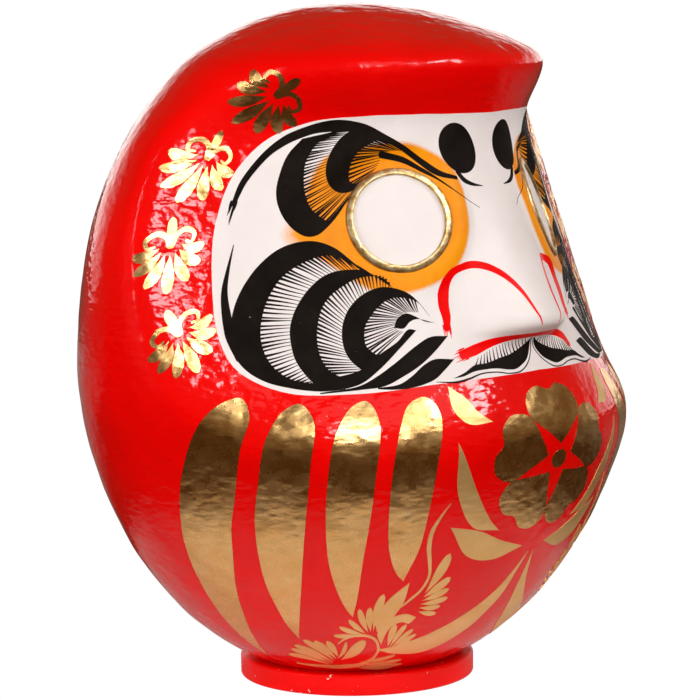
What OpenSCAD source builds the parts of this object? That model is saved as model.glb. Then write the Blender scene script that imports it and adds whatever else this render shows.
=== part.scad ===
// Daruma doll: a hollow moulded-paper body on a round foot, weighted with clay.
// Origin on the ground under the middle of the foot. +Z is up and the face looks along -Y.

/* [Body] */
// Height of the doll from the ground to the top of the head
doll_h = 600; // [590:2:610]
// Half of the body's width at its widest level, without the hood's ridge
half_w = 288; // [284:1:292]
// Height of the widest level
wide_z = 287.5; // [284:0.5:291]
// How round the body is seen from above, 2 being an ellipse
plan_power = 1.82; // [1.75:0.01:2]
// Depth of the front half as a share of the half width
front_ratio = 0.85; // [0.82:0.002:0.88]
// Depth of the back half as a share of the half width
back_ratio = 0.704; // [0.68:0.002:0.76]
// How square the top of the head is, 2 being an ellipse
top_power = 2.236; // [2.1:0.002:2.4]
// How square the lower belly is
base_power = 1.777; // [1.76:0.001:1.8]
// Drop from the widest level to where the belly would close
base_drop = 291; // [290:0.2:294]
// Thickness of the moulded paper
wall = 4; // [3:0.5:5]

/* [Hood] */
// How far the hood stands out over the brow
visor_out = 23.9; // [20:0.1:28]
// Height of the middle of that visor
visor_z = 557.5; // [552:0.5:562]
// Spread of the visor up and down
visor_spread = 22.9; // [20:0.1:26]
// Height of the ridge roll round the face
ridge_out = 9; // [6:0.2:12]
// Spread of the ridge roll on the face's side
ridge_in = 21.7; // [18:0.1:26]
// Spread of the ridge roll on the outer side
ridge_back = 180; // [140:1:200]

/* [Face] */
// Level where the brow ends and the hood begins
brow_z = 522; // [518:1:528]
// Level where the chin ends and the belly begins
chin_z = 257.2; // [252:0.2:260]
// Distance from the axis to each cheek plane at eye level
cheek_d = 176; // [174:0.5:178]
// Direction of each cheek plane, degrees from straight ahead
cheek_az = 39.3; // [38:0.1:41]
// Distance from the axis to the front plane at eye level
front_d = 182.4; // [180:0.1:185]
// How much the face comes forward for each millimetre lower
face_slope = 0.306; // [0.29:0.002:0.32]
// How far the nose stands out
nose_out = 33.6; // [26:0.2:38]
// Half width of the nose
nose_half_w = 41.3; // [38:0.1:46]
// Level of the lower edge of the nose
nose_z = 323; // [318:1:328]

/* [Eyes] */
// Sideways place of each eye's middle
eye_x = 92.3; // [90:0.1:95]
// Forward place of each eye's middle
eye_y = -138.3; // [-140:0.1:-136]
// Height of each eye's middle
eye_z = 419.6; // [416:0.1:424]
// Direction that each eye looks in, degrees from straight ahead
eye_az = 35; // [33:0.5:37]
// How far each eye looks upwards, in degrees
eye_tilt = 20; // [18:0.5:22]
// Outer radius of the raised rim of an eye
rim_r = 46.2; // [44:0.1:48]
// Width of the raised rim
rim_w = 7; // [6:0.1:8]
// Height of the raised rim above the eye
rim_h = 3.2; // [2.5:0.1:3.4]

/* [Foot] */
// Outer radius of the foot ring
foot_r = 105; // [103:0.5:108]
// Height of the foot ring
foot_h = 19.2; // [18:0.2:21]
// Radius of the rounded edges of the foot ring
foot_round = 2.5; // [1:0.5:3]
// Height of the hoop that joins the ring to the body
hoop_h = 44; // [38:1:50]
// Thickness of the hoop
hoop_t = 3; // [2:0.5:4]
// Thickness of the board that closes the foot
board_t = 2.5; // [2:0.5:3]
// Height of the clay weight at its rim
clay_h = 26; // [20:1:30]
// Extra height of the clay weight in its middle
clay_crown = 12; // [8:1:16]

/* [Hidden] */

columns = 84;       // points round the body
rows = 44;          // rings of points from the neck to the crown
inner_step = 2;     // the inside uses every second ring
plane_power = 6;    // how tightly the face planes turn into each other
merge_power = 60;   // how tightly the face turns into the hood
eye_level = 420;    // level at which the face planes' distances are given
brow_soft = 11;     // softness of the step under the brow
chin_soft = 18.6;   // softness of the step above the belly
visor_turn = 0.1;  // where round the head the visor fades out
visor_soft = 0.22;  // softness of that fade
ridge_fade = 0.75;  // how far round the back the ridge roll reaches
crown_r = 60;       // the visor also fades out inside this radius
nose_root = 470;    // level where the nose starts
nose_full = 338;    // level where the nose is highest
nose_soft = 3.5;    // softness of the nose's lower edge
nose_level_r = 190; // radius at which the nose's half width is measured
pad_in = 50;        // the eye pad is flat inside this radius
pad_out = 72;       // the eye pad has faded out at this radius
strip_gap = 0.3;    // glue line between the shell and the seam strip
strip_t = 1.2;      // thickness of the seam strip
strip_rows = [8, 36];
glue = 0.2;         // glue line between round parts
board_lap = 2.6;    // ledge in the ring that holds the board
round_fn = 120;

red = [0.80, 0.02, 0.02];
gold = [0.80, 0.62, 0.25];
buff = [0.78, 0.68, 0.50];
clay = [0.55, 0.42, 0.32];

// angle of the neck on the lower belly, so that the first ring lies on the foot ring
neck_a = -asin((wide_z - foot_h) / base_drop);
neck_r = belly_r(foot_h);
bore_r = neck_r - wall - 0.1;

function clamp01(x) = max(0, min(1, x));
function smooth01(x) = let (c = clamp01(x)) c * c * (3 - 2 * c);
function logistic(x) = 1 / (1 + exp(-max(-50, min(50, x))));
function lobe(t, power) = pow(max(0, 1 - pow(t, power)), 1 / power);

// radius of the plain egg on the widest side at height z
function belly_r(z) = z > wide_z
    ? half_w * lobe(clamp01((z - wide_z) / (doll_h - wide_z)), top_power)
    : half_w * lobe(clamp01((wide_z - z) / base_drop), base_power);

// depth ratio at angle a from straight ahead; the body turns round towards the foot
function squash(a, z) = let (share = cos(a) > 0 ? front_ratio : back_ratio)
    share + (1 - share) * pow(clamp01((wide_z - z) / base_drop), 3);

// the plan is a true circle at the foot
function plan_turn(z) = plan_power + (2 - plan_power) * pow(clamp01((wide_z - z) / base_drop), 3);

function visor(a, z) = visor_out * exp(-pow((z - visor_z) / visor_spread, 2))
    * logistic((cos(a) - visor_turn) / visor_soft) * clamp01(belly_r(z) / crown_r);

// the egg with the hood standing out over the brow; a is the angle from straight ahead
function egg_r(a, z) = max(0.1, visor(a, z)
    + belly_r(z) * pow(pow(abs(sin(a)), plan_turn(z)) + pow(abs(cos(a)) / squash(a, z), plan_turn(z)),
        -1 / plan_turn(z)));

function plane_term(turn, d, z) =
    pow(max(cos(turn), 0.001) / (d - face_slope * (z - eye_level)), plane_power);

// the face: two cheek planes and a front plane, rounded into each other
function face_r(a, z) = pow(plane_term(a - cheek_az, cheek_d, z) + plane_term(a + cheek_az, cheek_d, z)
    + plane_term(a, front_d, z), -1 / plane_power);

function lower_of(p, q) = pow(pow(p, -merge_power) + pow(q, -merge_power), -1 / merge_power);

function face_share(z) = logistic((brow_z - z) / brow_soft) * logistic((z - chin_z) / chin_soft);

function nose(a, z) = cos(a) < 0 ? 0
    : nose_out * pow(clamp01((nose_root - z) / (nose_root - nose_full)), 1.6)
      * logistic((z - nose_z) / nose_soft)
      * exp(-pow(abs(nose_level_r * sin(a)) / nose_half_w, 2.6));

// the roll along the line where the face planes meet the egg
function ridge(egg, face, a, z) = let (gap = face - egg)
    ridge_out * exp(-pow(gap / (gap > 0 ? ridge_back : ridge_in), 2))
    * face_share(z) * smooth01((cos(a) + ridge_fade) / ridge_fade);

function head_r(a, z) = let (egg = egg_r(a, z), face = face_r(a, z))
    egg + (lower_of(face, egg) - egg) * face_share(z) + ridge(egg, face, a, z) + nose(a, z);

// distance out to the flat plane of the eye on the given side, along the angle a at height z
function eye_plane_r(a, z, side) = let (
    nx = sin(eye_az) * cos(eye_tilt), ny = -cos(eye_az) * cos(eye_tilt), nz = sin(eye_tilt))
    (nx * eye_x + ny * eye_y + nz * (eye_z - z)) / max(0.2, nx * side * sin(a) - ny * cos(a));

function eye_pad(r, a, z, side) = cos(a) < 0 ? r : let (
    p = eye_plane_r(a, z, side),
    off = norm([p * sin(a) - side * eye_x, -p * cos(a) - eye_y, z - eye_z]))
    r + (p - r) * smooth01((pad_out - off) / (pad_out - pad_in));

// radius of the finished body
function body_r(a, z) = eye_pad(eye_pad(head_r(a, z), a, z, 1), a, z, -1);

// height of ring i: the rings are evenly spaced by angle, from the neck up to the crown
function ring_z(i) = let (t = neck_a + (90 - neck_a) * i / rows)
    wide_z + (t > 0 ? (doll_h - wide_z) : base_drop) * sin(t);

function outer_point(i, j) = let (a = 360 * j / columns, z = ring_z(i), r = body_r(a, z))
    [r * sin(a), -r * cos(a), z];

// a point of the outer skin moved in by depth: level at the neck, towards the middle above it
function sunk_point(i, j, depth) = let (
    p = outer_point(i, j), mid = [0, 0, i == 0 ? p[2] : wide_z], v = p - mid)
    mid + v * (1 - depth / norm(v));

// triangles of a band between two rings of points that start at p and q
function band(p, q, n) = [for (j = [0 : n - 1]) let (k = (j + 1) % n)
    each [[p + j, q + j, q + k], [p + j, q + k, p + k]]];

module shell() {
    inner_rows = [for (i = [0 : inner_step : rows - inner_step]) i];
    outer_n = rows * columns;
    inner_n = len(inner_rows) * columns;
    outer_pts = [for (i = [0 : rows - 1], j = [0 : columns - 1]) outer_point(i, j)];
    inner_pts = [for (i = inner_rows, j = [0 : columns - 1]) sunk_point(i, j, wall)];
    crown_out = outer_n + inner_n;
    crown_in = crown_out + 1;
    outer_tris = [for (i = [0 : rows - 2]) each band(i * columns, (i + 1) * columns, columns)];
    inner_tris = [for (i = [0 : len(inner_rows) - 2])
        each band(outer_n + (i + 1) * columns, outer_n + i * columns, columns)];
    neck_tris = band(outer_n, 0, columns);
    crown_tris = [for (j = [0 : columns - 1]) let (k = (j + 1) % columns)
        each [[outer_n - columns + j, crown_out, outer_n - columns + k],
              [crown_out - columns + k, crown_in, crown_out - columns + j]]];
    color(red)
        polyhedron(
            points = concat(outer_pts, inner_pts, [[0, 0, doll_h], [0, 0, doll_h - wall]]),
            faces = concat(outer_tris, inner_tris, neck_tris, crown_tris));
}

// strip pasted inside the back, over the slit through which the mould was taken out
module seam_strip() {
    back = columns / 2;
    levels = [for (i = [strip_rows[0] : inner_step : strip_rows[1]]) i];
    n = len(levels);
    depths = [wall + strip_gap, wall + strip_gap + strip_t];
    pts = [for (i = levels, d = depths, j = [back - 1 : back + 1]) sunk_point(i, j, d)];
    // each level has six points: three on the glued side, then three on the open side
    loop = [0, 1, 2, 5, 4, 3];
    sides = [for (i = [0 : n - 2], m = [0 : 5]) let (
        p = 6 * i + loop[m], q = 6 * i + loop[(m + 1) % 6])
        each [[p, p + 6, q], [q, p + 6, q + 6]]];
    low_end = [[0, 1, 3], [1, 4, 3], [1, 2, 4], [2, 5, 4]];
    high_end = [for (t = low_end) [for (v = [2 : -1 : 0]) t[v] + 6 * (n - 1)]];
    color(buff)
        polyhedron(points = pts, faces = concat(sides, low_end, high_end));
}

module foot_ring() {
    color(red)
        rotate_extrude($fn = round_fn)
            difference() {
                union() {
                    translate([bore_r, foot_round])
                        square([foot_r - bore_r, foot_h - 2 * foot_round]);
                    translate([bore_r, 0])
                        square([foot_r - foot_round - bore_r, foot_h]);
                    for (z = [foot_round, foot_h - foot_round])
                        translate([foot_r - foot_round, z])
                            circle(foot_round, $fn = 32);
                }
                translate([bore_r - 1, -1])
                    square([board_lap + 1, board_t + 1]);
            }
}

module neck_hoop() {
    color(buff)
        translate([0, 0, board_t])
            difference() {
                cylinder(h = hoop_h, r = bore_r - glue, $fn = round_fn);
                translate([0, 0, -1])
                    cylinder(h = hoop_h + 2, r = bore_r - glue - hoop_t, $fn = round_fn);
            }
}

// clay weight with a crowned top, resting on the board inside the hoop
module clay_weight() {
    clay_r = bore_r - 2 * glue - hoop_t;
    crown_ball_r = (pow(clay_r, 2) + pow(clay_crown, 2)) / (2 * clay_crown);
    color(clay)
        translate([0, 0, board_t])
            union() {
                cylinder(h = clay_h, r = clay_r, $fn = round_fn);
                intersection() {
                    cylinder(h = clay_h + clay_crown, r = clay_r, $fn = round_fn);
                    translate([0, 0, clay_h + clay_crown - crown_ball_r])
                        sphere(crown_ball_r, $fn = round_fn);
                }
            }
}

module base_board() {
    color(buff)
        cylinder(h = board_t, r = bore_r + board_lap - glue, $fn = round_fn);
}

// half-round rim that stands on the flat pad of one eye; side is 1 or -1
module eye_rim(side) {
    half_rim = rim_w / 2;
    round_r = (pow(half_rim, 2) + pow(rim_h, 2)) / (2 * rim_h);
    color(gold)
        translate([side * eye_x, eye_y, eye_z])
            rotate([0, 90 - eye_tilt, side > 0 ? eye_az - 90 : -90 - eye_az])
                rotate_extrude($fn = round_fn)
                    translate([rim_r - half_rim, 0])
                        intersection() {
                            translate([0, rim_h - round_r])
                                circle(round_r, $fn = 48);
                            translate([-half_rim, 0])
                                square([rim_w, rim_h + 1]);
                        }
}

module eye_rim_left() {
    eye_rim(1);
}

module eye_rim_right() {
    eye_rim(-1);
}

shell();
seam_strip();
foot_ring();
neck_hoop();
clay_weight();
base_board();
eye_rim_left();
eye_rim_right();
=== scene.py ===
"""Looks of the daruma doll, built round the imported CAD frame.

The body's skin follows the same formula as the CAD shell, with the fine unevenness of moulded paper.
Every coat of paint is a thin mesh that lies on that skin. Painted outlines are drawn unrolled:
the first number is mm round a cylinder of radius UNROLL_R, from the middle of the face, and the second
is the height in mm. Most are drawn once, for one side, and mirrored.
"""

import math

import bpy
import numpy as np
from mathutils import Matrix, Vector
from mathutils.geometry import delaunay_2d_cdt
from mathutils.kdtree import KDTree


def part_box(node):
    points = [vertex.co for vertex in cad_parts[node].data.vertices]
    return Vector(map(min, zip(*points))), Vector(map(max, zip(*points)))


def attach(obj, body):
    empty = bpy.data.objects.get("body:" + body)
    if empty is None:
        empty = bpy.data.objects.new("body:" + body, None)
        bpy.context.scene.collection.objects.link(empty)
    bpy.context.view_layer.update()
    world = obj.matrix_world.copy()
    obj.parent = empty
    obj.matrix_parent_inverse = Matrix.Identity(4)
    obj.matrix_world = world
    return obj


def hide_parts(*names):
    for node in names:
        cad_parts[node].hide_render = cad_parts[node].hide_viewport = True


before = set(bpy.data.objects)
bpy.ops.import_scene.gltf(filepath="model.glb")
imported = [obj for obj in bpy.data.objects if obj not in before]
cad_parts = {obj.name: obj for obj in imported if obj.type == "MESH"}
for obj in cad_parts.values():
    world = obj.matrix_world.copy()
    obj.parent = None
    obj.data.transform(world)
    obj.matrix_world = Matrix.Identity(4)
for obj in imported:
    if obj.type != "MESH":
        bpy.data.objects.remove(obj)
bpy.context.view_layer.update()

MM = 0.001
UNROLL_R = 200.0
SIDES = {"right": -1, "left": 1}

# ---- the body's shape, in mm, as in the CAD part ----

DOLL_H, HALF_W, WIDE_Z, BASE_DROP, WALL = 600, 288, 287.5, 291, 4
TOP_POWER, BASE_POWER, PLAN_POWER = 2.236, 1.777, 1.82
FRONT_RATIO, BACK_RATIO = 0.85, 0.704
FOOT_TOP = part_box("foot_ring")[1].z / MM
VISOR_OUT, VISOR_Z, VISOR_SPREAD = 23.9, 557.5, 22.9
VISOR_TURN, VISOR_SOFT, CROWN_R = 0.1, 0.22, 60
RIDGE_OUT, RIDGE_IN, RIDGE_BACK, RIDGE_FADE = 9, 21.7, 180, 0.75
BROW_Z, BROW_SOFT, CHIN_Z, CHIN_SOFT = 522, 11, 257.2, 18.6
CHEEK_D, CHEEK_AZ, FRONT_D = 176, math.radians(39.3), 182.4
FACE_SLOPE, EYE_LEVEL = 0.306, 420
PLANE_POWER, MERGE_POWER = 6, 60
NOSE_OUT, NOSE_HALF_W, NOSE_LEVEL_R = 33.6, 41.3, 190
NOSE_ROOT, NOSE_FULL, NOSE_Z, NOSE_SOFT = 470, 338, 323, 3.5
EYE_X, EYE_Y, EYE_Z = 92.3, -138.3, 419.6
EYE_AZ, EYE_TILT = math.radians(35), math.radians(20)
PAD_IN, PAD_OUT = 50, 72
RIM_R, RIM_W, RIM_H = 46.2, 7.0, 3.2


def clamp01(x):
    return np.clip(x, 0, 1)


def smooth01(x):
    c = clamp01(x)
    return c * c * (3 - 2 * c)


def logistic(x):
    return 1 / (1 + np.exp(-np.clip(x, -50, 50)))


def lobe(t, power):
    return np.maximum(0, 1 - t ** power) ** (1 / power)


def belly_r(z):
    """Radius of the plain egg on its widest side."""
    above = lobe(clamp01((z - WIDE_Z) / (DOLL_H - WIDE_Z)), TOP_POWER)
    below = lobe(clamp01((WIDE_Z - z) / BASE_DROP), BASE_POWER)
    return HALF_W * np.where(z > WIDE_Z, above, below)


def egg_r(a, z):
    """The egg with the hood standing out over the brow; a is the angle from straight ahead."""
    low = clamp01((WIDE_Z - z) / BASE_DROP) ** 3
    share = np.where(np.cos(a) > 0, FRONT_RATIO, BACK_RATIO)
    squash = share + (1 - share) * low
    power = PLAN_POWER + (2 - PLAN_POWER) * low
    visor = VISOR_OUT * np.exp(-((z - VISOR_Z) / VISOR_SPREAD) ** 2)
    visor = visor * logistic((np.cos(a) - VISOR_TURN) / VISOR_SOFT) * clamp01(belly_r(z) / CROWN_R)
    plan = (np.abs(np.sin(a)) ** power + np.abs(np.cos(a) / squash) ** power) ** (-1 / power)
    return np.maximum(0.1, visor + belly_r(z) * plan)


def face_r(a, z):
    """Two cheek planes and a front plane, rounded into each other."""

    def plane(turn, distance):
        return (np.maximum(np.cos(turn), 0.001) / (distance - FACE_SLOPE * (z - EYE_LEVEL))) ** PLANE_POWER

    cheeks = plane(a - CHEEK_AZ, CHEEK_D) + plane(a + CHEEK_AZ, CHEEK_D)
    return (cheeks + plane(a, FRONT_D)) ** (-1 / PLANE_POWER)


def face_share(z):
    """1 between the brow and the chin, 0 above and below them."""
    return logistic((BROW_Z - z) / BROW_SOFT) * logistic((z - CHIN_Z) / CHIN_SOFT)


def nose(a, z):
    rise = clamp01((NOSE_ROOT - z) / (NOSE_ROOT - NOSE_FULL)) ** 1.6 * logistic((z - NOSE_Z) / NOSE_SOFT)
    across = np.exp(-(np.abs(NOSE_LEVEL_R * np.sin(a)) / NOSE_HALF_W) ** 2.6)
    return np.where(np.cos(a) < 0, 0, NOSE_OUT * rise * across)


def eye_way(side):
    """The direction that an eye looks in."""
    level = math.cos(EYE_TILT)
    return side * math.sin(EYE_AZ) * level, -math.cos(EYE_AZ) * level, math.sin(EYE_TILT)


def eye_pad(r, a, z, side):
    """The flat pad that carries an eye's rim, blended into the face."""
    nx, ny, nz = eye_way(1)
    ahead = nx * EYE_X + ny * EYE_Y + nz * (EYE_Z - z)
    p = ahead / np.maximum(0.2, nx * side * np.sin(a) - ny * np.cos(a))
    off = np.sqrt((p * np.sin(a) - side * EYE_X) ** 2 + (-p * np.cos(a) - EYE_Y) ** 2 + (z - EYE_Z) ** 2)
    return np.where(np.cos(a) < 0, r, r + (p - r) * smooth01((PAD_OUT - off) / (PAD_OUT - PAD_IN)))


def body_r(a, z):
    """Radius of the finished body: the face cut into the egg, with a ridge where they meet."""
    egg, face, share = egg_r(a, z), face_r(a, z), face_share(z)
    lower = (face ** -MERGE_POWER + egg ** -MERGE_POWER) ** (-1 / MERGE_POWER)
    gap = face - egg
    ridge = RIDGE_OUT * np.exp(-(gap / np.where(gap > 0, RIDGE_BACK, RIDGE_IN)) ** 2) * share
    ridge = ridge * smooth01((np.cos(a) + RIDGE_FADE) / RIDGE_FADE)
    r = egg + (lower - egg) * share + ridge + nose(a, z)
    return eye_pad(eye_pad(r, a, z, 1), a, z, -1)


# ---- unevenness of the moulded paper ----

def paper_waves(count=30, shortest=16.0, longest=75.0, slope=0.0085, seed=11):
    """Directions, phases and heights of the waves that make the hand-moulded surface uneven."""
    rng = np.random.default_rng(seed)
    way = rng.normal(size=(count, 3))
    way /= np.linalg.norm(way, axis=1)[:, None]
    length = np.geomspace(shortest, longest, count)
    turns = 2 * math.pi / length
    return way * turns[:, None], rng.uniform(0, 2 * math.pi, count), slope / turns


WAVES = paper_waves()
MIDDLE = np.array([0, 0, WIDE_Z])


def uneven(points):
    """Points of the body, moved in or out by the paper's unevenness."""
    turns, phase, height = WAVES
    rise = np.sin(points @ turns.T + phase) @ height
    way = points - MIDDLE
    way /= np.linalg.norm(way, axis=1)[:, None]
    return points + way * rise[:, None]


def body_point(a, z):
    """Points of the smooth body at the angles a and heights z."""
    r = body_r(a, z)
    return np.stack([r * np.sin(a), -r * np.cos(a), z + 0 * a], -1)


def body_normal(a, z, turn=0.002, step=0.4):
    across = body_point(a + turn, z) - body_point(a - turn, z)
    up = body_point(a, np.minimum(z + step, DOLL_H)) - body_point(a, z - step)
    n = np.cross(across, up)
    return n / np.linalg.norm(n, axis=1)[:, None]


def on_body(places, lift):
    """Points lifted off the uneven body, for unrolled places (mm round, mm up)."""
    a, z = places[:, 0] / UNROLL_R, places[:, 1]
    return uneven(body_point(a, z)) + body_normal(a, z) * lift


# ---- meshes ----

def add_mesh(name, points, faces, material, sharp=None):
    """A piece that rides on the doll's one body; points are in mm."""
    mesh = bpy.data.meshes.new(name)
    mesh.from_pydata((np.asarray(points) * MM).tolist(), [], faces)
    mesh.validate()
    mesh.shade_smooth()
    if sharp is not None:
        mesh.set_sharp_from_angle(angle=math.radians(sharp))
    mesh.materials.append(material)
    piece = bpy.data.objects.new(name, mesh)
    bpy.context.scene.collection.objects.link(piece)
    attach(piece, "root")
    return piece


def grid_faces(first, rows, columns, flip=False):
    """Quads between rows of points that close on themselves."""
    faces = []
    for i in range(rows - 1):
        for j in range(columns):
            k = (j + 1) % columns
            a, b = first + i * columns + j, first + i * columns + k
            quad = (a, b, b + columns, a + columns)
            faces.append(quad[::-1] if flip else quad)
    return faces


# Extra levels under the nose, where the body turns sharply.
NOSE_FOLD = np.arange(305, 342, 0.9)


def make_skin(material, columns=540, rows=258, inner_rows=36):
    """The moulded paper shell: an outer and an inner skin, joined at the neck."""
    turn = 2 * math.pi * np.arange(columns) / columns

    def ring_points(count, fold):
        low = -math.asin((WIDE_Z - FOOT_TOP) / BASE_DROP)
        t = low + (math.pi / 2 - low) * np.arange(count) / count
        levels = WIDE_Z + np.where(t > 0, DOLL_H - WIDE_Z, BASE_DROP) * np.sin(t)
        a, z = np.meshgrid(turn, np.sort(np.concatenate([levels, fold])))
        return body_point(a.ravel(), z.ravel())

    outer = uneven(ring_points(rows, NOSE_FOLD))
    inner = ring_points(inner_rows, NOSE_FOLD[::4])
    rows, inner_rows = len(outer) // columns, len(inner) // columns
    way = inner - MIDDLE
    way[:columns, 2] = 0
    inner = inner - way * (WALL / np.linalg.norm(way, axis=1))[:, None]
    crowns = [(0, 0, DOLL_H), (0, 0, DOLL_H - WALL)]
    points = np.concatenate([outer, inner, crowns])
    start = rows * columns
    crown_out = len(points) - 2
    faces = grid_faces(0, rows, columns) + grid_faces(start, inner_rows, columns, flip=True)
    for j in range(columns):
        k = (j + 1) % columns
        faces.append((start - columns + j, start - columns + k, crown_out))
        faces.append((crown_out - columns + k, crown_out - columns + j, crown_out + 1))
        faces.append((start + j, start + k, k, j))
    skin = add_mesh("body_skin", points, faces, material, sharp=60)
    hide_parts("shell")


# ---- unrolled outlines ----

def curve(points, step=1.6):
    """A smooth line (centripetal Catmull-Rom) through points, sampled about every step mm."""
    p = np.asarray(points, float)
    ends = np.vstack([2 * p[0] - p[1], p, 2 * p[-1] - p[-2]])
    knots = np.concatenate([[0], np.cumsum(np.linalg.norm(np.diff(ends, axis=0), axis=1) ** 0.5)])
    line = [p[:1]]
    for i in range(len(p) - 1):
        a, b, c, d = ends[i:i + 4]
        ka, kb, kc, kd = knots[i:i + 4]
        count = max(1, int(np.ceil(np.linalg.norm(c - b) / step)))
        t = np.linspace(kb, kc, count + 1)[1:, None]
        ab = a + (b - a) * (t - ka) / (kb - ka)
        bc = b + (c - b) * (t - kb) / (kc - kb)
        cd = c + (d - c) * (t - kc) / (kd - kc)
        left = ab + (bc - ab) * (t - ka) / (kc - ka)
        right = bc + (cd - bc) * (t - kb) / (kd - kb)
        line.append(left + (right - left) * (t - kb) / (kc - kb))
    return np.concatenate(line)


def along(line, shares):
    """Points at the given shares of a line's length."""
    length = np.concatenate([[0], np.cumsum(np.linalg.norm(np.diff(line, axis=0), axis=1))])
    at = np.asarray(shares) * length[-1]
    return np.stack([np.interp(at, length, line[:, 0]), np.interp(at, length, line[:, 1])], -1)


def between(edge_a, edge_b):
    """The outline between two smooth edges that run the same way."""
    return np.concatenate([curve(edge_a), curve(edge_b)[::-1]])


def petal(points, step=1.6):
    """A smooth closed outline with its one sharp tip at the first point."""
    return curve(list(points) + [points[0]], step)[:-1]


def oval(centre, half_w, half_h, count, lean=0.0):
    turns = np.linspace(0, 2 * math.pi, count, endpoint=False)
    return np.asarray(centre) + np.stack([half_w * np.cos(turns), half_h * np.sin(turns + lean)], -1)


def brush(points, widths, step=1.6):
    """A brush stroke along a smooth line; widths are given at the line's points."""
    line = curve(points, step)
    way = np.gradient(line, axis=0)
    way /= np.linalg.norm(way, axis=1)[:, None]
    side = np.stack([-way[:, 1], way[:, 0]], -1)
    spots = [np.argmin(np.linalg.norm(line - p, axis=1)) for p in np.asarray(points, float)]
    half = np.interp(np.arange(len(line)), spots, widths)[:, None] / 2
    start = rounded_end(line[0], -way[0], half[0, 0])
    end = rounded_end(line[-1], way[-1], half[-1, 0])
    return np.concatenate([start, line - side * half, end, (line + side * half)[::-1]])


def rounded_end(at, way, radius, steps=6):
    """Half a circle round the end of a stroke, from its left side to its right side."""
    if radius < 0.4:
        return np.empty((0, 2))
    turns = np.linspace(-math.pi / 2, math.pi / 2, steps + 2)[1:-1]
    side = np.array([-way[1], way[0]])
    return at + radius * (np.cos(turns)[:, None] * way + np.sin(turns)[:, None] * side)


def leaf(base, tip, width, bend=0.0, fullest=0.62):
    """A brush-made leaf, thin at its base and round at its tip."""
    base, tip = np.asarray(base, float), np.asarray(tip, float)
    way = tip - base
    length = np.linalg.norm(way)
    way /= length
    side = np.array([-way[1], way[0]])
    t = np.linspace(0, 1, 15)
    middle = base + np.outer(t * length, way) + np.outer(4 * bend * length * t * (1 - t), side)
    half = width / 2 * np.where(
        t < fullest, np.sin(t / fullest * math.pi / 2) ** 1.3,
        np.sqrt(np.maximum(0, 1 - ((t - fullest) / (1 - fullest)) ** 2)))
    return np.concatenate([middle + side * half[:, None], (middle - side * half[:, None])[-2:0:-1]])


def comb(base_line, tip_line, count, width, rng, tip_width=0.35, root=1.2, past=0.6, shortest=1.5):
    """Tapering hairs from one line, where each is rooted, to just past another."""
    hairs = []
    shares = (np.arange(count) + 0.5 + rng.uniform(-0.16, 0.16, count)) / count
    bases = along(curve(base_line), shares)
    tips = along(curve(tip_line), shares)
    for base, tip in zip(bases, tips):
        way = tip - base
        length = np.linalg.norm(way)
        if length < shortest:
            continue
        side = np.array([-way[1], way[0]]) / length
        base = base - way / length * root
        tip = tip + way / length * past
        wide = width * rng.uniform(0.75, 1.15)
        t = np.linspace(0, 1, 7)
        sag = 0.02 * length * rng.uniform(-1, 1) * 4 * t * (1 - t)
        middle = base + np.outer(t, tip - base) + np.outer(sag, side)
        half = (wide + (tip_width - wide) * t ** 0.8)[:, None] / 2
        hairs.append(np.concatenate([middle + side * half, (middle - side * half)[::-1]]))
    return hairs


def mirrored(outlines, side):
    """Outlines for the doll's left side as they are, or turned over for its right side."""
    return [np.asarray(o) * (side, 1) for o in outlines]


# ---- paint: thin meshes on the body ----

def inside(points, ring):
    """Which points lie inside a closed ring."""
    hit = np.zeros(len(points), bool)
    low, high = ring.min(0), ring.max(0)
    near = np.flatnonzero(np.all((points >= low) & (points <= high), axis=1))
    if not len(near):
        return hit
    x, y = points[near, 0][:, None], points[near, 1][:, None]
    x0, y0 = ring[:, 0], ring[:, 1]
    x1, y1 = np.roll(x0, -1), np.roll(y0, -1)
    spans = (y0 > y) != (y1 > y)
    rise = np.where(y1 == y0, 1e-9, y1 - y0)
    crosses = spans & (x < (x1 - x0) * (y - y0) / rise + x0)
    hit[near] = crosses.sum(1) % 2 == 1
    return hit


def inner_points(outlines, spacing):
    """An even grid of points inside the outlines and clear of their edges."""
    edge = np.concatenate(outlines)
    tree = KDTree(len(edge))
    for i, p in enumerate(edge):
        tree.insert((p[0], p[1], 0), i)
    tree.balance()
    low, high = edge.min(0), edge.max(0)
    rows = np.arange(low[1], high[1], spacing * 0.87)
    columns = np.arange(low[0], high[0], spacing)
    x, y = np.meshgrid(columns, rows)
    x = x + (np.arange(len(rows)) % 2)[:, None] * spacing / 2
    grid = np.stack([x.ravel(), y.ravel()], -1)
    kept = np.zeros(len(grid), bool)
    for ring in outlines:
        kept |= inside(grid, ring)
    grid = grid[kept]
    clear = [tree.find((p[0], p[1], 0))[2] > spacing * 0.45 for p in grid]
    return grid[np.array(clear, bool)] if len(grid) else grid


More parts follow.
